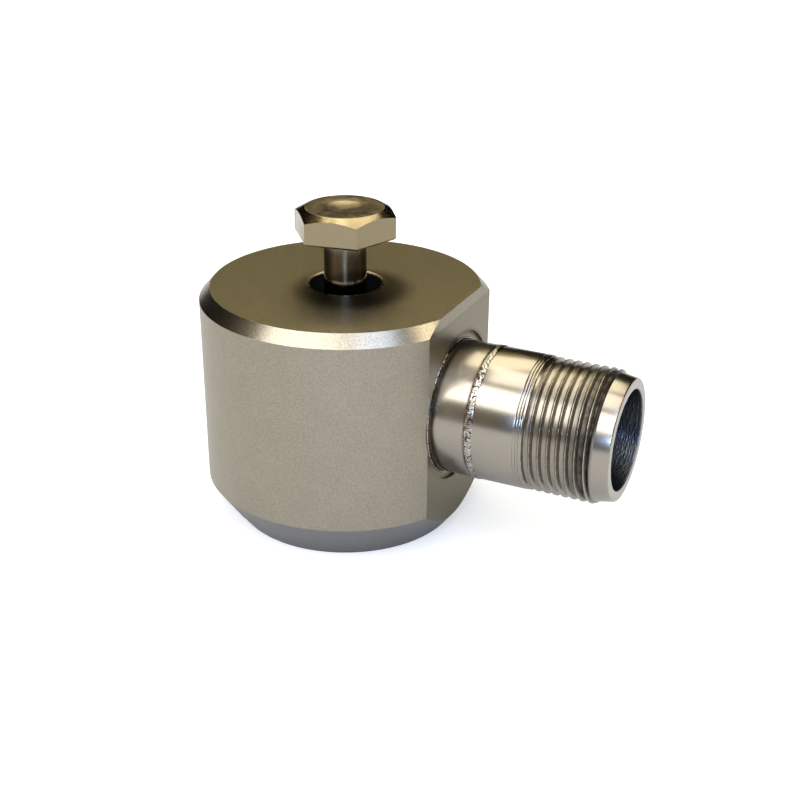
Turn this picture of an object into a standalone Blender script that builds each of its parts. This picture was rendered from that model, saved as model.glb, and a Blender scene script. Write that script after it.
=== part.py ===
"""Side-exit vibration sensor with a captive mounting bolt.

Metres, +Z up. The origin is on the body's axis at the plane of its base, and +X points along
the connector. Every piece is a named object; the bolt's origin is on the axis that it slides on.
"""

from math import cos, pi, radians, sin, sqrt, tan

import bmesh
import bpy
from mathutils import Matrix, Vector

MM = 0.001

# Fits
CLEARANCE = 0.30 * MM

# Body
BODY_R = 17.4625 * MM
BODY_HEIGHT = 29.32 * MM
TOP_CHAMFER_RADIAL = 1.30 * MM
TOP_CHAMFER_AXIAL = 1.40 * MM
TAPER_HEIGHT = 3.46 * MM
TAPER_RADIAL = 2.35 * MM
FOOT_HEIGHT = 1.68 * MM
FOOT_RADIAL = 1.30 * MM
FLAT_DEPTH = 2.37 * MM
SPOT_FACE_MARGIN = 1.06 * MM
SPOT_FACE_DEPTH = 0.34 * MM
ROOF_THICKNESS = 3.20 * MM
SIDE_WALL = 5.26 * MM
BASE_SEAT_WIDTH = 0.40 * MM

# Base and centre post
BASE_FLANGE_THICKNESS = 2.20 * MM
BASE_PILOT_HEIGHT = 2.00 * MM
POST_R = 4.55 * MM
POST_FILLET = 0.20 * MM
POST_DISH_DEPTH = 0.15 * MM
BOLT_BORE_R = 3.45 * MM
BORE_CHAMFER = 0.40 * MM
CAPTIVE_LAND_LENGTH = 4.50 * MM

# Captive bolt
BOLT_REACH = 35.20 * MM
BOLT_THREAD_R = 3.175 * MM
BOLT_THREAD_LENGTH = 11.0 * MM
BOLT_TIP_CHAMFER = 0.50 * MM
SHANK_R = 2.55 * MM
HEAD_ACROSS_FLATS = 10.88 * MM
HEAD_HEIGHT = 3.47 * MM
HEAD_TURN = radians(10.1)
HEAD_TOP_R = 4.75 * MM
HEAD_CHAMFER_ANGLE = radians(29.0)
HEAD_UNDERSIDE_BEVEL = 0.22 * MM
HEAD_DISH_R = 2.40 * MM
HEAD_DISH_DEPTH = 0.35 * MM

# Connector
CONNECTOR_DROP = 13.09 * MM
NECK_R = 7.99 * MM
NECK_WALL = 1.55 * MM
NECK_INSET = 2.49 * MM
NECK_REACH = 4.66 * MM
WELD_BEAD_WIDTH = 0.80 * MM
WELD_BEAD_RISE = 0.15 * MM
SHELL_LENGTH = 15.85 * MM
THREAD_START_INSET = 10.60 * MM
THREAD_END_INSET = 2.15 * MM
THREAD_CREST_R = 7.90 * MM
THREAD_PITCH = 25.4 / 24 * MM
THREAD_DEPTH = 0.50 * MM
THREAD_FLANK_ANGLE = radians(30)
THREAD_GROOVES = 7
THREAD_RUN_IN_GROOVES = 4
LAST_GROOVE_INSET = 0.45 * MM
COLLAR_STEP = 0.30 * MM
COLLAR_R = 7.50 * MM
COLLAR_END_R = 7.19 * MM
MOUTH_ROUND = 0.18 * MM
MOUTH_BEVEL = 0.12 * MM
SOCKET_R = 5.90 * MM
SOCKET_DEPTH = 11.70 * MM
SEAL_BORE_R = 5.20 * MM
KEY_WIDTH = 1.25 * MM
KEY_HEIGHT = 0.40 * MM
KEY_LENGTH = 9.00 * MM
KEY_TURN = radians(16.5)
INSERT_THICKNESS = 2.00 * MM
SEAL_THICKNESS = 3.20 * MM
PIN_R = 0.79 * MM
PIN_TAIL_R = 0.50 * MM
PIN_TAIL_LENGTH = 2.60 * MM
PIN_PITCH = 4.78 * MM
PIN_RECESS = 3.50 * MM

# Sensing stack, from the base upwards
SLEEVE_WALL = 0.40 * MM
STACK_ROOM = 2.20 * MM
ISOLATION_RING_HEIGHT = 1.00 * MM
ISOLATION_RING_LIP = 0.60 * MM
ELECTRODE_THICKNESS = 0.30 * MM
ELECTRODE_TAB_WIDTH = 2.00 * MM
ELECTRODE_TAB_LENGTH = 1.60 * MM
PIEZO_HEIGHT = 1.50 * MM
MASS_LIP = 0.50 * MM
MASS_CHAMFER = 0.50 * MM
WASHER_INSET = 1.00 * MM
WASHER_THICKNESS = 0.50 * MM
WASHER_CONE = 0.80 * MM
NUT_WALL = 2.55 * MM
NUT_HEIGHT = 2.90 * MM
NUT_CHAMFER = 0.30 * MM
NUT_SLOT_WIDTH = 1.60 * MM
NUT_SLOT_DEPTH = 1.10 * MM
NUT_SLOT_REACH = 1.50 * MM
NUT_SLOTS = 4

# Shield, board and leads
SHIELD_WALL = 0.40 * MM
SHIELD_TOP_ROOM = 2.50 * MM
SHIELD_PORT_R = 3.60 * MM
SPACER_WIDTH = 1.80 * MM
SPACER_HEIGHT = 0.90 * MM
BOARD_THICKNESS = 1.20 * MM
BOARD_HOLE_R = 5.00 * MM
CHIP_SIZE = Vector((4.40, 2.60, 1.30)) * MM
CAPACITOR_SIZE = Vector((2.00, 2.40, 1.50)) * MM
PART_INSET = 1.95 * MM
BOARD_EDGE_ROOM = 0.50 * MM
PART_EDGE = 0.12 * MM
LEAD_R = 0.35 * MM
LEAD_SAMPLES = 3
SENSOR_LEAD_R = 0.25 * MM

# Facets round a full turn
BODY_STEPS = 96
CONNECTOR_STEPS = 60
SHIELD_STEPS = 48
STACK_STEPS = 28
BOLT_STEPS = 48
PIN_STEPS = 20
DISH_STEPS = 4

# Places worked out from the sizes above
CAVITY_R = BODY_R - SIDE_WALL
TAPER_END_R = BODY_R - TAPER_RADIAL
FOOT_R = TAPER_END_R - FOOT_RADIAL
FLAT_X = BODY_R - FLAT_DEPTH
CONNECTOR_Z = BODY_HEIGHT - CONNECTOR_DROP
SPOT_FACE_R = NECK_R + SPOT_FACE_MARGIN
FLANGE_R = CAVITY_R + BASE_SEAT_WIDTH - CLEARANCE
PILOT_R = CAVITY_R - CLEARANCE
SEAT_Z = BASE_FLANGE_THICKNESS + BASE_PILOT_HEIGHT
ROOF_Z = BODY_HEIGHT - ROOF_THICKNESS
LAND_R = SHANK_R + CLEARANCE
LAND_BOTTOM_Z = BODY_HEIGHT - POST_DISH_DEPTH - CAPTIVE_LAND_LENGTH
NECK_INNER_X = FLAT_X - NECK_INSET
NECK_END_X = FLAT_X + NECK_REACH
SHELL_START_X = NECK_END_X + CLEARANCE
SHELL_END_X = SHELL_START_X + SHELL_LENGTH
THREAD_START_X = SHELL_END_X - THREAD_START_INSET
THREAD_END_X = SHELL_END_X - THREAD_END_INSET
SOCKET_FLOOR_X = SHELL_END_X - SOCKET_DEPTH
INSERT_X = SOCKET_FLOOR_X + CLEARANCE
SEAL_X = SOCKET_FLOOR_X - SEAL_THICKNESS
PIN_TIP_X = SHELL_END_X - PIN_RECESS
PIN_BODY_X = SEAL_X - CLEARANCE
PIN_TAIL_X = PIN_BODY_X - PIN_TAIL_LENGTH
PIN_BACK_X = PIN_TAIL_X - CLEARANCE
SHIELD_R = PILOT_R
SHIELD_INNER_R = SHIELD_R - SHIELD_WALL
STACK_BORE_R = POST_R + 2 * CLEARANCE + SLEEVE_WALL
STACK_R = SHIELD_INNER_R - STACK_ROOM
BOARD_R = CAVITY_R - BOARD_EDGE_ROOM
BOARD_TOP_Z = ROOF_Z - 2 * CLEARANCE - SPACER_HEIGHT
BOARD_BOTTOM_Z = BOARD_TOP_Z - BOARD_THICKNESS
NUT_TOP_Z = BOARD_BOTTOM_Z - 2 * CLEARANCE - max(CHIP_SIZE.z, CAPACITOR_SIZE.z)


# Mesh helpers

def new_object(name, bm, material):
    """Make a named object from a bmesh, with smooth sides and sharp edges."""
    bmesh.ops.recalc_face_normals(bm, faces=bm.faces)
    mesh = bpy.data.meshes.new(name)
    bm.to_mesh(mesh)
    bm.free()
    mesh.shade_smooth()
    mesh.set_sharp_from_angle(angle=radians(28))
    mesh.materials.append(material)
    obj = bpy.data.objects.new(name, mesh)
    bpy.context.scene.collection.objects.link(obj)
    return obj


def lathe(name, profile, steps, material, along="Z", centre=(0, 0, 0)):
    """Turn a closed (radius, height) outline about the Z axis, or lay it along X."""
    bm = bmesh.new()
    verts = [bm.verts.new((r, 0, h)) for r, h in profile]
    edges = [bm.edges.new(pair) for pair in zip(verts, verts[1:])]
    on_axis = profile[0][0] == 0 and profile[-1][0] == 0
    if not on_axis:
        edges.append(bm.edges.new((verts[-1], verts[0])))
    bmesh.ops.spin(bm, geom=verts + edges, cent=(0, 0, 0), axis=(0, 0, 1), angle=2 * pi,
                   steps=steps, use_duplicate=False)
    bmesh.ops.remove_doubles(bm, verts=bm.verts, dist=1e-6)
    if along == "X":
        bmesh.ops.rotate(bm, verts=bm.verts, cent=(0, 0, 0), matrix=Matrix.Rotation(pi / 2, 3, "Y"))
    bmesh.ops.translate(bm, verts=bm.verts, vec=centre)
    return new_object(name, bm, material)


def box(name, low, high, material):
    """A block between two opposite corners."""
    bm = bmesh.new()
    bmesh.ops.create_cube(bm, size=1)
    low = Vector(low)
    high = Vector(high)
    bmesh.ops.scale(bm, verts=bm.verts, vec=high - low)
    bmesh.ops.translate(bm, verts=bm.verts, vec=(low + high) / 2)
    return new_object(name, bm, material)


def cylinder(name, radius, start, end, steps, material, along="Z", centre=(0, 0, 0)):
    """A plain round bar between two heights."""
    outline = [(0, start), (radius, start), (radius, end), (0, end)]
    return lathe(name, outline, steps, material, along, centre)


def combine(target, tool, operation):
    """Cut, join or intersect target with tool, and keep tool only as a hidden guide."""
    modifier = target.modifiers.new(operation.title(), "BOOLEAN")
    modifier.operation = operation
    modifier.object = tool
    tool.hide_render = True
    tool.display_type = "WIRE"
    tool.parent = target


def ring(inner_r, outer_r, bottom, top):
    """Outline of a plain ring."""
    return [(inner_r, bottom), (outer_r, bottom), (outer_r, top), (inner_r, top)]


def metal(name, colour, roughness, metallic=1.0):
    """A Principled material."""
    material = bpy.data.materials.new(name)
    material.use_nodes = True
    shader = material.node_tree.nodes["Principled BSDF"]
    shader.inputs["Base Color"].default_value = (*colour, 1)
    shader.inputs["Roughness"].default_value = roughness
    shader.inputs["Metallic"].default_value = metallic
    return material


# Pieces that show

def make_housing(steel):
    """The turned body: a cup open below, with a flat, a spot face and the connector's hole."""
    top_r = BODY_R - TOP_CHAMFER_RADIAL
    seat_r = CAVITY_R + BASE_SEAT_WIDTH
    seat_z = BASE_FLANGE_THICKNESS + CLEARANCE
    outline = [
        (seat_r, 0),
        (FOOT_R, 0),
        (TAPER_END_R, FOOT_HEIGHT),
        (BODY_R, FOOT_HEIGHT + TAPER_HEIGHT),
        (BODY_R, BODY_HEIGHT - TOP_CHAMFER_AXIAL),
        (top_r, BODY_HEIGHT),
        (POST_R + CLEARANCE, BODY_HEIGHT),
        (POST_R + CLEARANCE, ROOF_Z),
        (CAVITY_R, ROOF_Z),
        (CAVITY_R, seat_z),
        (seat_r, seat_z),
    ]
    housing = lathe("housing", outline, BODY_STEPS, steel)
    beyond = 2 * BODY_R
    flat = box("flat_cutter", (FLAT_X, -beyond, -beyond), (beyond, beyond, beyond), steel)
    combine(housing, flat, "DIFFERENCE")
    centre = (0, 0, CONNECTOR_Z)
    floor_x = FLAT_X - SPOT_FACE_DEPTH
    spot = cylinder("spot_face_cutter", SPOT_FACE_R, floor_x, beyond, CONNECTOR_STEPS, steel,
                    "X", centre)
    combine(housing, spot, "DIFFERENCE")
    hole_r = NECK_R + CLEARANCE
    hole = cylinder("neck_hole_cutter", hole_r, 0, beyond, CONNECTOR_STEPS, steel, "X", centre)
    combine(housing, hole, "DIFFERENCE")
    return housing


def make_base(steel):
    """The mounting base, with its hollow post and the land that keeps the bolt captive."""
    outline = [
        (BOLT_BORE_R + BORE_CHAMFER, 0),
        (FLANGE_R, 0),
        (FLANGE_R, BASE_FLANGE_THICKNESS),
        (PILOT_R, BASE_FLANGE_THICKNESS),
        (PILOT_R, SEAT_Z),
        (POST_R + POST_FILLET, SEAT_Z),
        (POST_R, SEAT_Z + POST_FILLET),
        (POST_R, BODY_HEIGHT),
        (LAND_R, BODY_HEIGHT - POST_DISH_DEPTH),
        (LAND_R, LAND_BOTTOM_Z),
        (BOLT_BORE_R, LAND_BOTTOM_Z - (BOLT_BORE_R - LAND_R)),
        (BOLT_BORE_R, BORE_CHAMFER),
    ]
    return lathe("base", outline, SHIELD_STEPS, steel)


def make_bolt(steel):
    """The captive bolt: a hex head with its chamfer and dished top, a thin shank, a thicker end."""
    taper = BOLT_THREAD_R - SHANK_R
    root_r = BOLT_THREAD_R - BOLT_TIP_CHAMFER
    inside_head = BOLT_REACH + HEAD_HEIGHT / 2
    outline = [
        (0, 0),
        (root_r, 0),
        (BOLT_THREAD_R, BOLT_TIP_CHAMFER),
        (BOLT_THREAD_R, BOLT_THREAD_LENGTH),
        (SHANK_R, BOLT_THREAD_LENGTH + taper),
        (SHANK_R, inside_head),
        (0, inside_head),
    ]
    bolt = lathe("captive_bolt", outline, BOLT_STEPS, steel)
    head = make_hex_head(steel)
    combine(bolt, head, "UNION")
    return bolt


def make_hex_head(steel):
    """A hexagon trimmed by the turned form that chamfers its corners and dishes its top."""
    corner_r = HEAD_ACROSS_FLATS / sqrt(3)
    seat_r = corner_r - HEAD_UNDERSIDE_BEVEL
    head_top = BOLT_REACH + HEAD_HEIGHT
    levels = [(seat_r, BOLT_REACH), (corner_r, BOLT_REACH + HEAD_UNDERSIDE_BEVEL),
              (corner_r, head_top)]
    bm = bmesh.new()
    rings = []
    for radius, z in levels:
        corners = [HEAD_TURN + i * pi / 3 for i in range(6)]
        rings.append([bm.verts.new((radius * cos(a), radius * sin(a), z)) for a in corners])
    for lower, upper in zip(rings, rings[1:]):
        for i in range(6):
            bm.faces.new((lower[i - 1], lower[i], upper[i], upper[i - 1]))
    bm.faces.new(rings[0])
    bm.faces.new(rings[-1])
    head = new_object("hex_head_guide", bm, steel)
    reach = corner_r + HEAD_UNDERSIDE_BEVEL
    dish_ball_r = (HEAD_DISH_R ** 2 + HEAD_DISH_DEPTH ** 2) / (2 * HEAD_DISH_DEPTH)
    dish_centre = head_top - HEAD_DISH_DEPTH + dish_ball_r
    trim = [
        (0, BOLT_REACH - HEAD_UNDERSIDE_BEVEL),
        (reach, BOLT_REACH - HEAD_UNDERSIDE_BEVEL),
        (reach, head_top - (reach - HEAD_TOP_R) * tan(HEAD_CHAMFER_ANGLE)),
        (HEAD_TOP_R, head_top),
    ]
    for i in range(DISH_STEPS, -1, -1):
        r = HEAD_DISH_R * i / DISH_STEPS
        trim.append((r, dish_centre - sqrt(dish_ball_r ** 2 - r ** 2)))
    turned = lathe("head_trim_guide", trim, BOLT_STEPS, steel)
    combine(head, turned, "INTERSECT")
    return head


def make_neck(steel):
    """The tube that carries the connector, with the weld bead at its outer end."""
    inner_r = NECK_R - NECK_WALL
    bead_r = NECK_R + WELD_BEAD_RISE
    bead_x = NECK_END_X - WELD_BEAD_WIDTH
    ramp = WELD_BEAD_WIDTH / 4
    outline = [
        (inner_r, NECK_INNER_X),
        (NECK_R, NECK_INNER_X),
        (NECK_R, bead_x),
        (bead_r, bead_x + ramp),
        (bead_r, NECK_END_X - ramp),
        (NECK_R, NECK_END_X),
        (inner_r, NECK_END_X),
    ]
    centre = (0, 0, CONNECTOR_Z)
    return lathe("connector_neck", outline, CONNECTOR_STEPS, steel, "X", centre)


def thread_grooves():
    """Outline points of the thread as plain V rings, which deepen over the tool's run-in."""
    points = []
    first_x = THREAD_END_X - LAST_GROOVE_INSET - (THREAD_GROOVES - 1) * THREAD_PITCH
    for i in range(THREAD_GROOVES):
        depth = THREAD_DEPTH * min(1, (i + 1) / THREAD_RUN_IN_GROOVES)
        half_width = depth * tan(THREAD_FLANK_ANGLE)
        x = first_x + i * THREAD_PITCH
        points += [(THREAD_CREST_R, x - half_width), (THREAD_CREST_R - depth, x),
                   (THREAD_CREST_R, x + half_width)]
    return points


def make_shell(steel):
    """The connector barrel: plain stretch, threaded stretch, smooth collar and keyed socket."""
    outline = [
        (SEAL_BORE_R, SHELL_START_X),
        (NECK_R, SHELL_START_X),
        (NECK_R, THREAD_START_X),
        (THREAD_CREST_R, THREAD_START_X + (NECK_R - THREAD_CREST_R)),
        *thread_grooves(),
        (THREAD_CREST_R, THREAD_END_X),
        (COLLAR_R, THREAD_END_X + COLLAR_STEP),
        (COLLAR_END_R, SHELL_END_X - MOUTH_ROUND),
        (COLLAR_END_R - MOUTH_ROUND, SHELL_END_X),
        (SOCKET_R + MOUTH_BEVEL, SHELL_END_X),
        (SOCKET_R, SHELL_END_X - MOUTH_BEVEL),
        (SOCKET_R, SOCKET_FLOOR_X),
        (SEAL_BORE_R, SOCKET_FLOOR_X),
    ]
    centre = Vector((0, 0, CONNECTOR_Z))
    shell = lathe("connector_shell", outline, CONNECTOR_STEPS, steel, "X", centre)
    wall_middle = (SOCKET_R + COLLAR_END_R) / 2
    low = (SHELL_END_X - MOUTH_BEVEL - KEY_LENGTH, -KEY_WIDTH / 2, SOCKET_R - KEY_HEIGHT)
    high = (SHELL_END_X - MOUTH_BEVEL, KEY_WIDTH / 2, wall_middle)
    key = box("key_guide", low, high, steel)
    key.rotation_euler.x = KEY_TURN
    key.location = centre
    combine(shell, key, "UNION")
    return shell


# Pieces inside the connector

def drill_for_pins(disc, material):
    """Holes through an insulator, one round each contact."""
    for side in (-1, 1):
        centre = (0, side * PIN_PITCH / 2, CONNECTOR_Z)
        tool = cylinder(disc.name + "_pin_cutter", PIN_R + CLEARANCE, 0, 2 * SHELL_END_X,
                        PIN_STEPS, material, "X", centre)
        combine(disc, tool, "DIFFERENCE")


def make_insulators(plastic, glass):
    """The insert in the socket and the glass seal behind it."""
    centre = (0, 0, CONNECTOR_Z)
    insert = cylinder("connector_insert", SOCKET_R - CLEARANCE, INSERT_X,
                      INSERT_X + INSERT_THICKNESS, STACK_STEPS, plastic, "X", centre)
    drill_for_pins(insert, plastic)
    seal = cylinder("glass_seal", SEAL_BORE_R - CLEARANCE, SEAL_X, SOCKET_FLOOR_X, STACK_STEPS,
                    glass, "X", centre)
    drill_for_pins(seal, glass)


def make_pin(name, side, gold):
    """A contact with a domed tip in the socket and a thin solder tail behind the seal."""
    dome = [radians(a) for a in (30, 60)]
    dome_x = PIN_TIP_X - PIN_R
    outline = [(0, PIN_TAIL_X), (PIN_TAIL_R, PIN_TAIL_X), (PIN_TAIL_R, PIN_BODY_X),
               (PIN_R, PIN_BODY_X), (PIN_R, dome_x)]
    outline += [(PIN_R * cos(a), dome_x + PIN_R * sin(a)) for a in dome]
    outline.append((0, PIN_TIP_X))
    centre = (0, side * PIN_PITCH / 2, CONNECTOR_Z)
    return lathe(name, outline, PIN_STEPS, gold, "X", centre)


# Sensing stack

def make_stack(ceramic, sleeve_plastic, copper, crystal, tungsten, spring, steel):
    """The rings threaded on the centre post, from the base upwards."""
    z = SEAT_Z + CLEARANCE
    sleeve_bottom = z
    isolation = ring(STACK_BORE_R, STACK_R + ISOLATION_RING_LIP, z, z + ISOLATION_RING_HEIGHT)
    lathe("isolation_ring", isolation, STACK_STEPS, ceramic)
    z += ISOLATION_RING_HEIGHT + CLEARANCE
    lathe("lower_electrode", ring(STACK_BORE_R, STACK_R, z, z + ELECTRODE_THICKNESS),
          STACK_STEPS, copper)
    z += ELECTRODE_THICKNESS + CLEARANCE
    lathe("piezo_ring_lower", ring(STACK_BORE_R, STACK_R, z, z + PIEZO_HEIGHT), STACK_STEPS,
          crystal)
    z += PIEZO_HEIGHT + CLEARANCE
    make_centre_electrode(z, copper)
    make_sensor_lead(z + ELECTRODE_THICKNESS, copper)
    z += ELECTRODE_THICKNESS + CLEARANCE
    lathe("piezo_ring_upper", ring(STACK_BORE_R, STACK_R, z, z + PIEZO_HEIGHT), STACK_STEPS,
          crystal)
    z += PIEZO_HEIGHT
    sleeve_r = POST_R + CLEARANCE
    lathe("insulating_sleeve", ring(sleeve_r, sleeve_r + SLEEVE_WALL, sleeve_bottom, z),
          STACK_STEPS, sleeve_plastic)
    z += CLEARANCE
    nut_z = NUT_TOP_Z - NUT_HEIGHT
    washer_z = nut_z - CLEARANCE - WASHER_THICKNESS - WASHER_CONE
    make_mass(z, washer_z - CLEARANCE, tungsten)
    make_spring_washer(washer_z, spring)
    make_preload_nut(nut_z, steel)


def make_centre_electrode(z, copper):
    """A contact ring with the tab that its lead is soldered to."""
    electrode = lathe("centre_electrode", ring(STACK_BORE_R, STACK_R, z, z + ELECTRODE_THICKNESS),
                      STACK_STEPS, copper)
    inner_x = (STACK_BORE_R + STACK_R) / 2
    outer_x = STACK_R + ELECTRODE_TAB_LENGTH
    half = ELECTRODE_TAB_WIDTH / 2
    tab = box("electrode_tab_guide", (-outer_x, -half, z), (-inner_x, half, z + ELECTRODE_THICKNESS),
              copper)
    combine(electrode, tab, "UNION")
    return electrode


def make_sensor_lead(tab_top, copper):
    """The straight wire from the electrode's tab up to the board."""
    x = -(STACK_R + ELECTRODE_TAB_LENGTH - 2 * SENSOR_LEAD_R)
    return cylinder("sensor_lead", SENSOR_LEAD_R, tab_top + CLEARANCE,
                    BOARD_BOTTOM_Z - CLEARANCE, PIN_STEPS // 2, copper, "Z", (x, 0, 0))


def make_mass(z, top, tungsten):
    """The seismic mass, which fills the height that the other rings leave it."""
    inner_r = POST_R + CLEARANCE
    outer_r = STACK_R + MASS_LIP
    edge = min(MASS_CHAMFER, (top - z) / 3)
    outline = [(inner_r, z), (outer_r - edge, z), (outer_r, z + edge), (outer_r, top - edge),
               (outer_r - edge, top), (inner_r, top)]
    return lathe("seismic_mass", outline, STACK_STEPS, tungsten)


def make_spring_washer(z, spring):
    """A conical washer, high at its bore."""
    inner_r = POST_R + CLEARANCE
    outer_r = STACK_R - WASHER_INSET
    outline = [(inner_r, z + WASHER_CONE), (outer_r, z), (outer_r, z + WASHER_THICKNESS),
               (inner_r, z + WASHER_CONE + WASHER_THICKNESS)]
    return lathe("spring_washer", outline, STACK_STEPS, spring)


def make_preload_nut(z, steel):
    """A round nut with tool slots across its upper edge."""
    inner_r = POST_R + CLEARANCE
    outer_r = inner_r + NUT_WALL
    top = z + NUT_HEIGHT
    outline = [(inner_r, z), (outer_r - NUT_CHAMFER, z), (outer_r, z + NUT_CHAMFER),
               (outer_r, top), (inner_r, top)]
    nut = lathe("preload_nut", outline, STACK_STEPS, steel)
    half = NUT_SLOT_WIDTH / 2
    low = (outer_r - NUT_SLOT_REACH, -half, top - NUT_SLOT_DEPTH)
    high = (outer_r + NUT_SLOT_REACH, half, top + NUT_SLOT_DEPTH)
    for i in range(NUT_SLOTS):
        cutter = box("nut_slot_cutter", low, high, steel)
        cutter.rotation_euler.z = 2 * pi * (i + 0.5) / NUT_SLOTS
        combine(nut, cutter, "DIFFERENCE")
    return nut


# Shield, board and leads

def make_shield(tin):
    """The screening can, with a port on the connector's side for the leads."""
    z = SEAT_Z + CLEARANCE
    top = BOARD_BOTTOM_Z - SHIELD_TOP_ROOM
    shield = lathe("inner_shield", ring(SHIELD_INNER_R, SHIELD_R, z, top), SHIELD_STEPS, tin)
    port = cylinder("shield_port_cutter", SHIELD_PORT_R, 0, BODY_R, PIN_STEPS, tin, "X",
                    (0, 0, CONNECTOR_Z))
    combine(shield, port, "DIFFERENCE")
    return shield


def make_board(laminate, plastic):
    """The ring board and the spacer that holds it off the housing's roof."""
    lathe("circuit_board", ring(BOARD_HOLE_R, BOARD_R, BOARD_BOTTOM_Z, BOARD_TOP_Z), STACK_STEPS,
          laminate)
    spacer_z = BOARD_TOP_Z + CLEARANCE
    lathe("board_spacer", ring(BOARD_R - SPACER_WIDTH, BOARD_R, spacer_z,
                               spacer_z + SPACER_HEIGHT), STACK_STEPS, plastic)


def make_board_part(name, size, angle, material):
    """A component under the board, with its long side square to the board's radius."""
    top = BOARD_BOTTOM_Z - CLEARANCE
    half = size / 2
    part = box(name, -half, half, material)
    turn = radians(angle)
    reach = BOARD_R - PART_INSET
    part.location = (reach * cos(turn), reach * sin(turn), top - half.z)
    part.rotation_euler.z = turn - pi / 2
    bevel = part.modifiers.new("Edges", "BEVEL")
    bevel.width = PART_EDGE
    bevel.segments = 1
    return part


def smooth_route(points, samples):
    """Points along a curve that passes through the given ones."""
    ends = [2 * points[0] - points[1]] + points + [2 * points[-1] - points[-2]]
    route = []
    for a, b, c, d in zip(ends, ends[1:], ends[2:], ends[3:]):
        for i in range(samples):
            t = i / samples
            route.append(0.5 * (2 * b + (c - a) * t + (2 * a - 5 * b + 4 * c - d) * t ** 2
                                + (3 * b - a - 3 * c + d) * t ** 3))
    route.append(points[-1])
    return route


def make_lead(name, side, insulation):
    """A wire from a contact's tail, through the shield's port and up to the board."""
    y = side * PIN_PITCH / 2
    inside_r = SHIELD_INNER_R - CLEARANCE - LEAD_R
    rise_x = sqrt(inside_r ** 2 - y ** 2)
    port_z = CONNECTOR_Z + PIN_R
    corners = [
        Vector((PIN_BACK_X, y, CONNECTOR_Z)),
        Vector(((PIN_BACK_X + SHIELD_R) / 2, y, (CONNECTOR_Z + port_z) / 2)),
        Vector((SHIELD_R, y, port_z)),
        Vector((rise_x, y, port_z + 4 * LEAD_R)),
        Vector((rise_x, y, BOARD_BOTTOM_Z - CLEARANCE)),
    ]
    curve = bpy.data.curves.new(name, "CURVE")
    curve.dimensions = "3D"
    curve.bevel_depth = LEAD_R
    curve.bevel_resolution = 2
    curve.use_fill_caps = True
    route = smooth_route(corners, LEAD_SAMPLES)
    spline = curve.splines.new("POLY")
    spline.points.add(len(route) - 1)
    for point, place in zip(spline.points, route):
        point.co = (*place, 1)
    curve.materials.append(insulation)
    lead = bpy.data.objects.new(name, curve)
    bpy.context.scene.collection.objects.link(lead)
    return lead


def main():
    for obj in list(bpy.data.objects):
        bpy.data.objects.remove(obj, do_unlink=True)
    body_steel = metal("body_steel", (0.40, 0.37, 0.32), 0.36)
    bright_steel = metal("bright_steel", (0.56, 0.54, 0.50), 0.18)
    gold = metal("gold_plate", (0.80, 0.60, 0.28), 0.25)
    copper = metal("copper", (0.72, 0.42, 0.28), 0.30)
    tungsten = metal("tungsten", (0.30, 0.30, 0.31), 0.40)
    spring = metal("spring_steel", (0.45, 0.43, 0.40), 0.30)
    tin = metal("tinned_brass", (0.62, 0.60, 0.52), 0.35)
    ceramic = metal("ceramic", (0.82, 0.80, 0.74), 0.50, 0.0)
    crystal = metal("crystal", (0.42, 0.38, 0.30), 0.45, 0.0)
    glass = metal("seal_glass", (0.03, 0.05, 0.08), 0.10, 0.0)
    dark_plastic = metal("insert_plastic", (0.03, 0.03, 0.03), 0.40, 0.0)
    film = metal("sleeve_film", (0.45, 0.22, 0.06), 0.35, 0.0)
    laminate = metal("laminate", (0.05, 0.18, 0.08), 0.45, 0.0)
    chip_plastic = metal("chip_plastic", (0.02, 0.02, 0.02), 0.50, 0.0)
    red_insulation = metal("red_insulation", (0.45, 0.03, 0.02), 0.45, 0.0)
    black_insulation = metal("black_insulation", (0.02, 0.02, 0.02), 0.45, 0.0)

    make_housing(body_steel)
    make_base(bright_steel)
    make_bolt(bright_steel)
    make_neck(bright_steel)
    make_shell(bright_steel)
    make_insulators(dark_plastic, glass)
    make_pin("contact_pin_a", -1, gold)
    make_pin("contact_pin_b", 1, gold)
    make_stack(ceramic, film, copper, crystal, tungsten, spring, bright_steel)
    make_shield(tin)
    make_board(laminate, dark_plastic)
    make_board_part("amplifier_chip", CHIP_SIZE, 90, chip_plastic)
    make_board_part("coupling_capacitor", CAPACITOR_SIZE, 235, ceramic)
    make_board_part("bias_capacitor", CAPACITOR_SIZE, 285, ceramic)
    make_lead("signal_lead", -1, red_insulation)
    make_lead("ground_lead", 1, black_insulation)


main()
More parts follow.
